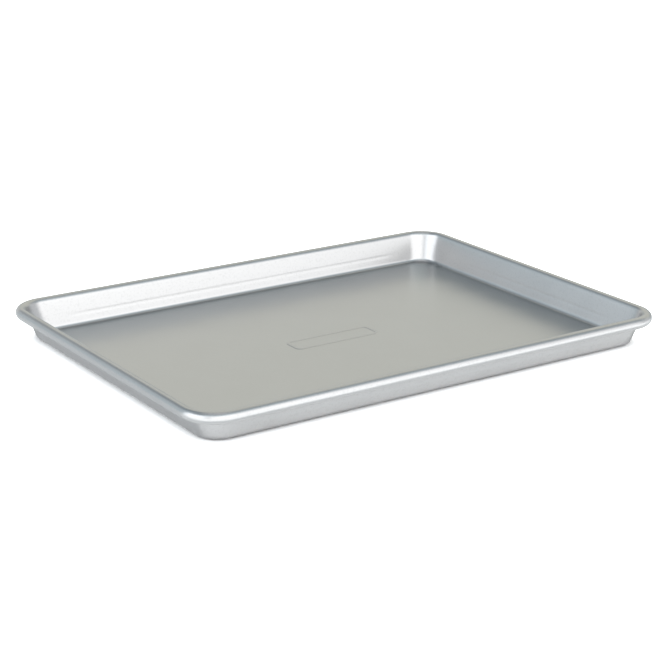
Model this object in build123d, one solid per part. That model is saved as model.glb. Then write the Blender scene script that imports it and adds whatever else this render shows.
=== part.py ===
from build123d import *
import os
from math import acos, cos, degrees, radians, sin, tan

# Millimetres and degrees. The pan stands on z = 0 with its centre over the origin,
# its long side along x and its open side up.

# The pan over its rolled rim
length = 406
width = 304
height = 25
sheet = 0.8

# Walls: how far they lean out from the vertical, and how they bend into the floor
wall_flare = 15.7
floor_bend = 3.7
floor_corner = 17

# Rolled rim: a round bead on the outside of the walls, its lip tucked back to the wall
rim_radius = 4.4
rim_corner = 27
lip_gap = 0.5

# The rod that the rim is rolled round, one bent length whose ends meet in a butt
rod_clearance = 0.1
rod_gap = 1.5

# A wide, shallow rib pressed outwards along each wall, fading out before the corners
rib_height = 9.3
rib_width = 3.6
rib_depth = 0.25
rib_end = 46
rib_fade = 12

half_length = length / 2
half_width = width / 2
rim_centre = height - rim_radius
rod_radius = rim_radius - sheet - rod_clearance

# Where the inner face of the wall runs into the round of the bead
top_inset = rim_radius * (1 + cos(radians(wall_flare)))
top_height = rim_centre + rim_radius * sin(radians(wall_flare))

# The sheet's thickness measured level, across the leaning wall
sheet_across = sheet / cos(radians(wall_flare))

# The rib's round, from its width and depth
rib_round = (rib_width**2 / 4 + rib_depth**2) / (2 * rib_depth)


def inner_inset(z):
    """How far the wall's inner face lies inside the rim's outer edge at a height."""
    return top_inset + (top_height - z) * tan(radians(wall_flare))


def inner_corner(z):
    """The inner face's corner radius, from the floor's own to one that follows the rim."""
    under_rim = rim_corner - inner_inset(rim_centre)
    rise = (z - sheet) / (rim_centre - sheet)
    return floor_corner + (under_rim - floor_corner) * rise


def wall_outline(z, spread):
    """The wall's outline at a height, with its inner face moved outwards by the spread."""
    inset = inner_inset(z) - spread
    corner = inner_corner(z) + spread
    return Pos(0, 0, z) * RectangleRounded(length - 2 * inset, width - 2 * inset, corner)


def filled_tray(bottom, spread, bend):
    """A solid tray from its bottom up to the rim's centre, its bottom edge rounded."""
    solid = loft([wall_outline(bottom, spread), wall_outline(rim_centre, spread)], ruled=True)
    return fillet(solid.faces().sort_by(Axis.Z)[0].edges(), bend)


def tapered_bar(radius, end_radius, straight, taper):
    """A round bar along x that narrows to the end radius over a taper at both ends."""
    half = straight / 2
    profile = Polyline(
        (-half - taper, 0),
        (-half - taper, end_radius),
        (-half, radius),
        (half, radius),
        (half + taper, end_radius),
        (half + taper, 0),
        close=True,
    )
    return revolve(make_face(profile), Axis.X)


def rib_slice(run, spread, back):
    """The outermost slice of a wide round bar, from its back out, over the wall's inner face.

    The face is y = 0 here and the wall runs along x. The bar bulges out of the face by the
    rib's depth and the spread, and its ends sink below it once past the fade.
    """
    straight = run - 2 * (rib_end + rib_fade)
    radius = rib_round + spread
    bar = tapered_bar(radius, radius - 2 * rib_depth, straight, 2 * rib_fade)
    keep = Pos(0, back, 0) * Box(run, radius, radius, align=(Align.CENTER, Align.MIN, Align.CENTER))
    return keep & (Pos(0, rib_depth - rib_round, 0) * bar)


def ribs(spread, back):
    """The slices of all four walls, each laid against its leaning wall."""
    long_slice = rib_slice(length, spread, back)
    short_slice = rib_slice(width, spread, back)
    reach = half_length - inner_inset(rib_height)
    side_reach = half_width - inner_inset(rib_height)
    lean = Rot(-wall_flare, 0, 0)
    return [
        Pos(0, side_reach, rib_height) * lean * long_slice,
        Rot(0, 0, 180) * Pos(0, side_reach, rib_height) * lean * long_slice,
        Rot(0, 0, 90) * Pos(0, reach, rib_height) * lean * short_slice,
        Rot(0, 0, -90) * Pos(0, reach, rib_height) * lean * short_slice,
    ]


def walls_and_floor():
    """The drawn sheet below the rim: flat floor, leaning walls and their ribs."""
    outside = filled_tray(0, sheet_across, floor_bend + sheet)
    inside = filled_tray(sheet, 0, floor_bend)
    ridges = ribs(sheet, sheet / 2)
    grooves = ribs(0, -sheet)
    return outside + ridges - inside - grooves


def rim_section():
    """The rolled edge cut across at the middle of the right end, from the wall to the lip."""
    centre = half_length - rim_radius
    bore = rim_radius - sheet
    start = 180 - wall_flare
    lip = -180 - wall_flare + degrees(acos((bore - lip_gap) / rim_radius))
    over = (start + lip) / 2

    def point(radius, angle):
        return (centre + radius * cos(radians(angle)), rim_centre + radius * sin(radians(angle)))

    foot_inside = (half_length - inner_inset(rim_centre), rim_centre)
    foot_outside = (foot_inside[0] + sheet_across, rim_centre)
    outline = [
        Line(foot_inside, point(rim_radius, start)),
        ThreePointArc(point(rim_radius, start), point(rim_radius, over), point(rim_radius, lip)),
        Line(point(rim_radius, lip), point(bore, lip)),
        ThreePointArc(point(bore, lip), point(bore, over), point(bore, start)),
        Line(point(bore, start), foot_outside),
        Line(foot_outside, foot_inside),
    ]
    return make_face(Plane.XZ * Curve(outline))


def rolled_rim():
    """The rolled edge all the way round: straight along each side, turned at each corner."""
    section = rim_section()
    corner_x = half_length - rim_corner
    corner_y = half_width - rim_corner
    end_run = extrude(section, corner_y, both=True)
    side_section = Pos(0, half_width - half_length, 0) * Rot(0, 0, 90) * section
    side_run = extrude(side_section, corner_x, both=True)
    turn = Pos(0, corner_y, 0) * revolve(section, Axis((corner_x, 0, 0), (0, 0, 1)), 90)
    other_turn = mirror(turn, Plane.YZ)
    half = [end_run, side_run, turn, other_turn]
    return half + [Rot(0, 0, 180) * piece for piece in half]


def pan_body():
    """The pan in one sheet: the tray with its rolled rim."""
    return walls_and_floor() + rolled_rim()


def rim_wire():
    """The rod inside the rim, closed to a loop but for the butt at the middle of the back."""
    reach_x = half_length - rim_radius
    reach_y = half_width - rim_radius
    start = rod_gap / 2
    route = FilletPolyline(
        (start, reach_y),
        (reach_x, reach_y),
        (reach_x, -reach_y),
        (-reach_x, -reach_y),
        (-reach_x, reach_y),
        (-start, reach_y),
        radius=rim_corner - rim_radius,
    )
    return Pos(0, 0, rim_centre) * sweep(Plane(route ^ 0) * Circle(rod_radius), path=route)


os.makedirs("parts", exist_ok=True)
export_step(pan_body(), "parts/pan_body.step")
export_step(rim_wire(), "parts/rim_wire.step")
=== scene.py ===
# Jelly roll pan: the look of the coated pan, built around its packed construction.
import math
import bpy
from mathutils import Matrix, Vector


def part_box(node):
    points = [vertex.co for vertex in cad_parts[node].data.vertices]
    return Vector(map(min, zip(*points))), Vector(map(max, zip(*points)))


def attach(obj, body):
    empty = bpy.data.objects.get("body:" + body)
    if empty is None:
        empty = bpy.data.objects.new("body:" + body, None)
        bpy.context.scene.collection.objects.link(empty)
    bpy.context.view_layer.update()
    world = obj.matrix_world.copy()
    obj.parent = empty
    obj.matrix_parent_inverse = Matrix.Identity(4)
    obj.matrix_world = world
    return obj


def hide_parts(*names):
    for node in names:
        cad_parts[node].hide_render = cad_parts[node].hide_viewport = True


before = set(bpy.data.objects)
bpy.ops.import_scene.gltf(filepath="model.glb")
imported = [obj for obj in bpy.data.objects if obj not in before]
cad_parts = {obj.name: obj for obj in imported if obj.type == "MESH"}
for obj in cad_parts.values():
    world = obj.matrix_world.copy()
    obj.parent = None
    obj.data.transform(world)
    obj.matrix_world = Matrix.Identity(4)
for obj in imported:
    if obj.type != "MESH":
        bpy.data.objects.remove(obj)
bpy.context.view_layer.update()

mm = 0.001
panHalf = [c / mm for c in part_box("pan_body")[1]]  # half length, half width and height


class Value:  # one output of a node, which can stand in an expression
    def __init__(self, bench, socket):
        self.bench = bench
        self.socket = socket

    def __getitem__(self, name):  # another output of the same node
        return Value(self.bench, self.socket.node.outputs[name])

    def __add__(self, other):
        return self.bench.maths("ADD", self, other)

    def __sub__(self, other):
        return self.bench.maths("SUBTRACT", self, other)

    def __rsub__(self, other):
        return self.bench.maths("SUBTRACT", other, self)

    def __mul__(self, other):
        return self.bench.maths("MULTIPLY", self, other)

    def __pow__(self, other):
        return self.bench.maths("POWER", self, other)

    def __rpow__(self, other):
        return self.bench.maths("POWER", other, self)

    __radd__ = __add__
    __rmul__ = __mul__


class Bench:  # the nodes of one material or of the world
    def __init__(self, owner):
        owner.use_nodes = True
        self.tree = owner.node_tree
        self.tree.nodes.clear()

    def node(self, kind, settings=None, sockets=None, output=0):
        made = self.tree.nodes.new(kind)
        for name, setting in (settings or {}).items():
            setattr(made, name, setting)
        for name, value in (sockets or {}).items():
            if isinstance(value, Value):
                self.tree.links.new(value.socket, made.inputs[name])
            else:
                made.inputs[name].default_value = value
        return Value(self, made.outputs[output]) if len(made.outputs) else None

    def maths(self, operation, *terms):
        return self.node("ShaderNodeMath", {"operation": operation}, dict(enumerate(terms)))

    def vector(self, operation, *terms):
        return self.node("ShaderNodeVectorMath", {"operation": operation}, dict(enumerate(terms)))

    def blend(self, factor, first, second):  # two colours
        sockets = {0: factor, 6: first, 7: second}
        return self.node("ShaderNodeMix", {"data_type": "RGBA"}, sockets, 2)

    def step(self, value, low, high):  # 0 up to low, 1 from high on, smooth between
        return self.node("ShaderNodeMapRange", {"interpolation_type": "SMOOTHSTEP"},
                         {"Value": value, "From Min": low, "From Max": high})

    def noise(self, place, size, detail=2.0):  # the size in millimetres
        return self.node("ShaderNodeTexNoise", {}, {
            "Vector": place, "Scale": 1 / (size * mm), "Detail": detail})


# the camera, in millimetres and degrees: azimuth 0 faces the pan's front
view = {
    "azimuth": -33.618,
    "elevation": 18.33,
    "distance": 1417.7,
    "target": (-9.73, -18.16, 10.0),
    "lens": 100.8806,
    "sensor": 36,
    "clip": (0.05, 100),  # metres
}


def makeCamera():
    data = bpy.data.cameras.new("camera")
    data.lens = view["lens"]
    data.sensor_width = view["sensor"]
    data.clip_start, data.clip_end = view["clip"]
    camera = bpy.data.objects.new("camera", data)
    bpy.context.collection.objects.link(camera)
    a, e = math.radians(view["azimuth"]), math.radians(view["elevation"])
    back = (math.sin(a) * math.cos(e), -math.cos(a) * math.cos(e), math.sin(e))
    camera.location = [(t + b * view["distance"]) * mm for t, b in zip(view["target"], back)]
    camera.rotation_euler = (math.pi / 2 - e, 0, a)
    bpy.context.scene.camera = camera
    print("camera ready")


# the pan's one sheet, in millimetres
panSheet = {
    "sheet": 0.8,
    "flare": 15.7,  # degrees from upright
    "bend": 3.7,
    "floorCorner": 17.0,
    "rimRadius": 4.4,
    "rimCorner": 27.0,
    "lipGap": 0.5,
    "ribHeight": 9.3,
    "ribDepth": 0.085,
    "ribHalfWidth": 2.1,
    "ribEnd": 42.0,
    "ribFade": 24.0,
    "ribMargin": 1.1,  # how far the fine rings reach, in widths of the rib
    "shortRib": 0.6,  # the short walls' ribs, as a share of the long walls'
    "panelLength": 74.0,
    "panelWidth": 19.5,
    "panelCorner": 4.5,
    "panelRise": 0.38,
    # across the panel's raised edge: millimetres inwards, and the share of its rise
    "panelEdge": ((4.5, 0), (2.05, 0), (1.65, 0), (1.375, 0.5), (1.1, 0.93), (0.55, 1), (0, 0.93),
                  (-0.275, 0.5), (-0.55, 0), (-0.95, 0)),
    "panelLeastCorner": 0.3,
    "lipSquash": 0.6,  # how flat the lip's rounded end is
    "cornerSteps": 24,
    "longSteps": 60,
    "shortSteps": 44,
    "bendSteps": 9,
    "rimSteps": 52,
    "lipSteps": 6,
    "coarseWallSteps": 5,
    "fineWallSteps": 16,
    "floorShares": (0.25, 0.5, 0.75, 0.9, 0.97, 0.995),  # from the panel out to the bend
    "undersideShares": (0.995, 0.97, 0.8, 0.5, 0.2),
}


def smooth(t):
    t = min(max(t, 0.0), 1.0)
    return t * t * (3 - 2 * t)


class Outline:  # one level ring of the sheet: half sizes, corner radius and height
    def __init__(self, halfX, halfY, corner, height, rib=0.0, lean=(0.0, 0.0)):
        self.halfX, self.halfY = halfX, halfY
        self.corner, self.height = corner, height
        self.rib = rib  # how far the rib moves it at full depth
        self.lean = lean  # the way that the rib moves it: outwards and up

    def points(self):
        s = panSheet
        quarters = [(1, 1, 0), (-1, 1, 90), (-1, -1, 180), (1, -1, 270)]
        straight = [s["longSteps"], s["shortSteps"], s["longSteps"], s["shortSteps"]]
        found = []
        for k, (sx, sy, start) in enumerate(quarters):
            cx, cy = sx * (self.halfX - self.corner), sy * (self.halfY - self.corner)
            for step in range(s["cornerSteps"] + 1):
                angle = math.radians(start + 90 * step / s["cornerSteps"])
                x, y = cx + self.corner * math.cos(angle), cy + self.corner * math.sin(angle)
                found.append((x, y, self.height))
            nx, ny = quarters[(k + 1) % 4][:2]
            angle = math.radians(start + 90)
            ax, ay = found[-1][:2]
            bx = nx * (self.halfX - self.corner) + self.corner * math.cos(angle)
            by = ny * (self.halfY - self.corner) + self.corner * math.sin(angle)
            for step in range(1, straight[k]):
                t = step / straight[k]
                x, y = ax + (bx - ax) * t, ay + (by - ay) * t
                isLong = straight[k] == s["longSteps"]
                along, half = (x, panHalf[0]) if isLong else (y, panHalf[1])
                fade = smooth((half - s["ribEnd"] - abs(along)) / s["ribFade"])
                push = self.rib * fade * (1 if isLong else s["shortRib"])
                x += math.cos(angle) * self.lean[0] * push
                y += math.sin(angle) * self.lean[0] * push
                found.append((x, y, self.height + self.lean[1] * push))
        return found


def panRings():
    s = panSheet
    halfX, halfY, top = panHalf
    t, rim, bend = s["sheet"], s["rimRadius"], s["bend"]
    flare = math.radians(s["flare"])
    rimCentre = top - rim
    topInset = rim * (1 + math.cos(flare))
    topHeight = rimCentre + rim * math.sin(flare)
    across = t / math.cos(flare)

    def innerInset(z):
        return topInset + (topHeight - z) * math.tan(flare)

    def cornerAt(inset, z):  # the corner radius of the sheet at a height and an inset
        underRim = s["rimCorner"] - innerInset(rimCentre)
        share = (z - t) / (rimCentre - t)
        wall = s["floorCorner"] + (underRim - s["floorCorner"]) * share
        return wall - (inset - innerInset(z))

    def ring(inset, z, corner, rib=0.0, lean=(0.0, 0.0)):
        return Outline(halfX - inset, halfY - inset, corner, z, rib, lean)

    # where the bend's centre lies, from the rim's outer edge
    run = (topHeight + bend * math.sin(flare) - t - bend) / math.cos(flare)
    bendInset = topInset + run * math.sin(flare) + bend * math.cos(flare)
    bendHeight = t + bend
    rings = []

    # floor: the blank panel's raised edge at its middle, then the flat out to the bend
    pl, pw, pc = s["panelLength"] / 2, s["panelWidth"] / 2, s["panelCorner"]
    for inward, lift in s["panelEdge"]:
        corner = max(pc - inward, s["panelLeastCorner"])
        rings.append(Outline(pl - inward, pw - inward, corner, t + lift * s["panelRise"]))

    def flat(share, z):  # a ring of the flat, from the panel's outline to the bend
        reach = (pl, halfX - bendInset), (pw, halfY - bendInset), (pc, cornerAt(bendInset, t))
        return Outline(*(a + (b - a) * share for a, b in reach), z)

    rings += [flat(share, t) for share in s["floorShares"]]

    # the bend from floor to wall
    turn = math.pi / 2 - flare
    bendSteps = s["bendSteps"]
    for step in range(bendSteps + 1):
        a = turn * step / bendSteps
        inset, z = bendInset - bend * math.sin(a), bendHeight - bend * math.cos(a)
        rings.append(ring(inset, z, cornerAt(inset, z)))

    # the wall's inner face with its groove
    low = bendHeight - bend * math.cos(turn)
    lean = (math.cos(flare), -math.sin(flare))
    for z in wallHeights(low, topHeight)[1:-1]:
        inset = innerInset(z)
        rings.append(ring(inset, z, cornerAt(inset, z), ribAt(z, flare), lean))

    # the rim: over the top, down and under to the lip, then back inside it
    start = math.pi - flare
    bore = rim - t
    lip = -math.pi - flare + math.acos((bore - s["lipGap"]) / rim)
    rimSteps, lipSteps = s["rimSteps"], s["lipSteps"]

    def bead(radius, angle):
        inset = rim - radius * math.cos(angle)
        return ring(inset, rimCentre + radius * math.sin(angle), s["rimCorner"] - inset)

    for step in range(rimSteps + 1):
        rings.append(bead(rim, start + (lip - start) * step / rimSteps))
    lipRadius, lipMiddle = t / 2, rim - t / 2
    for step in range(1, lipSteps):
        a = math.pi * step / lipSteps
        out = lipMiddle + lipRadius * math.cos(a)
        rings.append(bead(out, lip - lipRadius * math.sin(a) / lipMiddle * s["lipSquash"]))
    for step in range(rimSteps + 1):
        rings.append(bead(bore, lip + (start - lip) * step / rimSteps))

    # the wall's outer face with its ridge, then the outer bend and the underside
    outerLow = bendHeight - (bend + t) * math.cos(turn)
    outerTop = topHeight - t * math.sin(flare)
    for z in reversed(wallHeights(outerLow, outerTop)[1:-1]):
        inset = innerInset(z) - across
        rib = ribAt(z + t * math.sin(flare), flare)
        rings.append(ring(inset, z, cornerAt(inset, z), rib, lean))
    for step in range(bendSteps, -1, -1):
        a = turn * step / bendSteps
        inset, z = bendInset - (bend + t) * math.sin(a), bendHeight - (bend + t) * math.cos(a)
        rings.append(ring(inset, z, cornerAt(inset, z)))
    rings += [flat(share, 0) for share in s["undersideShares"]]
    return rings


def wallHeights(low, high):
    # even steps, with finer ones across the rib
    s = panSheet
    middle, half = s["ribHeight"], s["ribHalfWidth"] * s["ribMargin"]
    coarse, fine = s["coarseWallSteps"], s["fineWallSteps"]
    lower = [low + (middle - half - low) * k / coarse for k in range(coarse)]
    across = [middle - half + 2 * half * k / fine for k in range(fine)]
    upper = [middle + half + (high - middle - half) * k / coarse for k in range(coarse + 1)]
    return lower + across + upper


def ribAt(z, flare):
    s = panSheet
    along = abs(z - s["ribHeight"]) / math.cos(flare)
    if along >= s["ribHalfWidth"]:
        return 0.0
    return s["ribDepth"] * 0.5 * (1 + math.cos(math.pi * along / s["ribHalfWidth"]))


def buildPan():
    rings = [outline.points() for outline in panRings()]
    count = len(rings[0])
    points = [tuple(c * mm for c in p) for r in rings for p in r]
    faces = []
    for k in range(len(rings) - 1):
        a, b = k * count, (k + 1) * count
        for j in range(count):
            n = (j + 1) % count
            faces.append((a + j, a + n, b + n, b + j))
    faces.append(tuple(reversed(range(count))))
    last = (len(rings) - 1) * count
    faces.append(tuple(last + j for j in range(count)))
    mesh = bpy.data.meshes.new("panSheet")
    mesh.from_pydata(points, [], [tuple(reversed(f)) for f in faces])
    mesh.validate()
    mesh.shade_smooth()
    pan = bpy.data.objects.new("panSheet", mesh)
    bpy.context.collection.objects.link(pan)
    print("pan sheet:", len(points), "points")
    return pan


# the baked silver coating on the sheet: sizes and depths in millimetres
coating = {
    "shade": (0.456, 0.456, 0.456),
    "paleShade": (0.468, 0.468, 0.468),
    "cloudSize": 38.0,
    "cloudEdge": (0.35, 0.65),
    "speckleSize": 1.5,
    "speckleEdge": (0.5, 0.72),
    "speckleShade": (0.40, 0.40, 0.40),
    "speckleAmount": 0.5,
    "floorSpeckle": 0.15,
    "wallFoot": (0.002, 0.006),  # metres above the table
    "grainSize": 0.7,
    "grainDepth": 0.006,
    "roughness": 0.275,
    "cloudRoughness": 0.02,
    "drawSize": 1.2,
    "drawDepth": 0.0015,
}


def coatingMaterial():
    c = coating
    material = bpy.data.materials.new("panCoating")
    bench = Bench(material)
    place = bench.node("ShaderNodeTexCoord", output="Object")
    cloud = bench.step(bench.noise(place, c["cloudSize"]), *c["cloudEdge"])
    speckle = bench.step(bench.noise(place, c["speckleSize"], detail=1.0), *c["speckleEdge"])
    grain = bench.noise(place, c["grainSize"])

    # faint lines that the press leaves along the walls
    level = bench.vector("MULTIPLY", place, (0, 0, 1))
    drawn = bench.noise(level, c["drawSize"], detail=1.0)

    shade = bench.blend(cloud, (*c["shade"], 1), (*c["paleShade"], 1))
    height = bench.node("ShaderNodeSeparateXYZ", {}, {"Vector": place}, "Z")
    onWall = bench.step(height, *c["wallFoot"])
    amount = c["floorSpeckle"] + onWall * (c["speckleAmount"] - c["floorSpeckle"])
    shade = bench.blend(speckle * amount, shade, (*c["speckleShade"], 1))
    roughness = c["roughness"] + cloud * c["cloudRoughness"]
    relief = grain * c["grainDepth"] + drawn * c["drawDepth"]
    bump = bench.node("ShaderNodeBump", {}, {"Height": relief, "Strength": 1.0, "Distance": mm})
    shader = bench.node("ShaderNodeBsdfPrincipled", {}, {
        "Base Color": shade, "Metallic": 1.0, "Roughness": roughness, "Normal": bump})
    bench.node("ShaderNodeOutputMaterial", {}, {"Surface": shader})
    return material


# the bare steel rod in the rim: sizes and depths in millimetres
rod = {
    "shade": (0.5, 0.49, 0.47),
    "dullShade": (0.4, 0.385, 0.36),
    "dullSize": 14.0,
    "dullEdge": (0.4, 0.65),
    "roughness": 0.3,
    "dullRoughness": 0.15,
    "lineSize": 0.25,
    "lineDepth": 0.004,
}


def rodMaterial():
    material = bpy.data.materials.new("rimRodSteel")
    bench = Bench(material)
    place = bench.node("ShaderNodeTexCoord", output="Object")
    dull = bench.step(bench.noise(place, rod["dullSize"]), *rod["dullEdge"])
    lines = bench.noise(place, rod["lineSize"])
    shade = bench.blend(dull, (*rod["shade"], 1), (*rod["dullShade"], 1))
    roughness = rod["roughness"] + dull * rod["dullRoughness"]
    relief = lines * rod["lineDepth"]
    bump = bench.node("ShaderNodeBump", {}, {"Height": relief, "Strength": 1.0, "Distance": mm})
    shader = bench.node("ShaderNodeBsdfPrincipled", {}, {
        "Base Color": shade, "Metallic": 1.0, "Roughness": roughness, "Normal": bump})
    bench.node("ShaderNodeOutputMaterial", {}, {"Surface": shader})
    return material


# the light round the table: angles in degrees, from the pan's front and from the level
studio = {
    "around": (0.345, 0.405, 0.455),
    "cards": {
        "front": {"azimuth": (-47, 40), "height": (-90, 44), "soft": (24, 16),
                  "light": (2.08, 2.03, 1.99)},
        "left": {"azimuth": (-126, -55), "height": (-90, 44), "soft": (20, 16),
                 "light": (2.04, 2.06, 2.1)},
        "frontHigh": {"azimuth": (-80, 60), "height": (44, 64), "soft": (60, 16),
                      "light": (0.72, 0.84, 0.86)},
        "right": {"azimuth": (38, 92), "height": (-90, 35), "soft": (24, 30),
                  "light": (0.69, 0.66, 0.64)},
        "behind": {"azimuth": (92, 170), "height": (-90, 12), "soft": (24, 20),
                   "light": (0.14, 0.135, 0.11)},
        "behindHigh": {"azimuth": (92, 170), "height": (12, 62), "soft": (24, 20),
                       "light": (0.63, 0.575, 0.44)},
        "backLeft": {"azimuth": (-158, -126), "height": (-90, 60), "soft": (20, 30),
                     "light": (0.37, 0.43, 0.45)},
        "backLow": {"azimuth": (-192, -158), "height": (-90, 25), "soft": (16, 20),
                    "light": (0.57, 0.52, 0.47)},
    },
}

# the lamp over the table, sizes in metres
topLamp = {"height": 2.6, "across": 1.9, "light": (0.5, 0.46, 0.43)}

# the pale table under the pan: sizes in metres, and painted pools of light and shade on it,
# which the metal mirrors, in bands that each grow or sink between two distances out from the
# pan's foot
tableTop = {
    "size": 80.0,
    "drop": 0.0002,  # how far it lies under the pan
    "shade": (0.86, 0.86, 0.86),
    "contact": 0.008,  # how far the painted contact shadow round the foot reaches
    "contactPower": 1.8,
    "occlusionRays": 6,
    "white": 0.92,  # how white the camera sees it
    "frontFoot": 0.136,
    "frontGlow": {(0.001, 0.006): 0.42, (0.006, 0.011): 0.12, (0.014, 0.019): -0.24,
                  (0.036, 0.046): 0.95, (0.30, 0.40): -0.2},
    "leftFoot": 0.187,
    "leftGlow": {(0.001, 0.006): 0.05, (0.006, 0.012): 0.11, (0.032, 0.042): -0.13},
    "footCorner": 0.013,  # the foot's rounded corner and how softly the bands turn there
    "cornerSoft": 0.008,
    "sideEdge": (-0.006, 0.006),  # where the left's glow gives way to the front's
    "footGlow": 0.55,  # painted light right under the pan, which its underside mirrors
    "underEdge": (0.0, -0.02),  # it starts behind the front of the foot
    "underFade": (0.2, -0.35),  # and grows from left to right
}


def makeTable():
    t = tableTop
    half = t["size"] / 2
    mesh = bpy.data.meshes.new("table")
    corners = [(-half, -half), (half, -half), (half, half), (-half, half)]
    mesh.from_pydata([(x, y, -t["drop"]) for x, y in corners], [], [(0, 1, 2, 3)])
    table = bpy.data.objects.new("table", mesh)
    bpy.context.collection.objects.link(table)
    material = bpy.data.materials.new("table")
    bench = Bench(material)
    diffuse = bench.node("ShaderNodeBsdfDiffuse", {}, {"Color": (*t["shade"], 1)})
    place = bench.node("ShaderNodeNewGeometry", output="Position")
    # painted contact shadow: the white that the camera sees fades where the pan's foot hides the
    # table
    bare = bench.node("ShaderNodeAmbientOcclusion", {"samples": t["occlusionRays"]},
                      {"Distance": t["contact"]}, "AO") ** t["contactPower"]
    split = bench.node("ShaderNodeSeparateXYZ", {}, {"Vector": place})
    ahead = -t["frontFoot"] - split["Y"]
    aside = -t["leftFoot"] - split["X"]
    corner = (ahead + aside) * math.sqrt(0.5) + t["footCorner"] * (math.sqrt(2) - 1)
    ahead = bench.maths("SMOOTH_MAX", ahead, corner, t["cornerSoft"])

    def glowing(distance, bands):
        return sum(bench.step(distance, *band) * level for band, level in bands.items())

    beside = 1 - bench.step(ahead, *t["sideEdge"])
    # painted light and shade on the table, seen only by glossy rays, so the pan's walls mirror it
    paintedPool = glowing(ahead, t["frontGlow"]) + beside * glowing(aside, t["leftGlow"])
    # painted light under the pan, strongest where the foot hides the table, for the underside to
    # mirror
    under = bench.step(ahead, *t["underEdge"]) * bench.step(aside, *t["underFade"])
    paintedPool = paintedPool + (1 - bare) * under * t["footGlow"]
    path = bench.node("ShaderNodeLightPath")
    mirrored = path["Is Glossy Ray"] + path["Is Transmission Ray"]
    strength = path["Is Camera Ray"] * bare * t["white"] + mirrored * paintedPool
    glow = bench.node("ShaderNodeEmission", {}, {"Color": strength, "Strength": 1.0})
    lit = bench.node("ShaderNodeAddShader", {}, {0: diffuse, 1: glow})
    seen = path["Is Camera Ray"] + mirrored
    both = bench.node("ShaderNodeMixShader", {}, {0: seen, 1: diffuse, 2: lit})
    clear = bench.node("ShaderNodeBsdfTransparent")
    oneSided = bench.node("ShaderNodeMixShader", {}, {0: place["Backfacing"], 1: both, 2: clear})
    bench.node("ShaderNodeOutputMaterial", {}, {"Surface": oneSided})
    mesh.materials.append(material)


def makeSky():
    world = bpy.data.worlds.new("studio")
    bpy.context.scene.world = world
    bench = Bench(world)
    way = bench.node("ShaderNodeTexCoord", output="Generated")
    height = bench.maths("ARCSINE", bench.node("ShaderNodeSeparateXYZ", {}, {"Vector": way}, "Z"))
    level = bench.vector("NORMALIZE", bench.vector("MULTIPLY", way, (1, 1, 0)))
    light = studio["around"]
    for card in studio["cards"].values():
        low, high = (math.radians(a) for a in card["azimuth"])
        middle, half = (low + high) / 2, (high - low) / 2
        softSide, softTop = (math.radians(a) / 2 for a in card["soft"])
        centre = (math.sin(middle), -math.cos(middle), 0)
        aside = bench.maths("ARCCOSINE", bench.vector("DOT_PRODUCT", level, centre)["Value"])
        bottom, top = (math.radians(a) for a in card["height"])
        mask = (bench.step(aside, half + softSide, half - softSide)
                * bench.step(height, top + softTop, top - softTop)
                * bench.step(height, bottom - softTop, bottom + softTop))
        light = bench.vector("MULTIPLY_ADD", mask, card["light"], light)
    # the camera sees plain white, and the metal mirrors the cards
    seen = bench.node("ShaderNodeLightPath")["Is Camera Ray"]
    light = bench.blend(seen, light, (1, 1, 1, 1))
    sky = bench.node("ShaderNodeBackground", {}, {"Color": light, "Strength": 1.0})
    bench.node("ShaderNodeOutputWorld", {}, {"Surface": sky})


def makeTopLamp():
    lamp = topLamp
    data = bpy.data.lights.new("topLamp", "AREA")
    data.shape = "DISK"
    data.size = lamp["across"]
    level = max(lamp["light"])  # a disk's brightness is its watts over its area and pi
    data.color = [c / level for c in lamp["light"]]
    data.energy = level * math.pi * math.pi * (lamp["across"] / 2) ** 2
    placed = bpy.data.objects.new("topLamp", data)
    bpy.context.collection.objects.link(placed)
    placed.location = (0, 0, lamp["height"])
    placed.visible_camera = False


makeCamera()
pan = buildPan()
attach(pan, "root")
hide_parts("pan_body")
pan.data.materials.append(coatingMaterial())
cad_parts["rim_wire"].data.materials[0] = rodMaterial()
print("finishes ready")
makeTable()
makeSky()
makeTopLamp()
bpy.context.scene.view_settings.view_transform = "Standard"
print("studio ready")

bpy.context.view_layer.update()
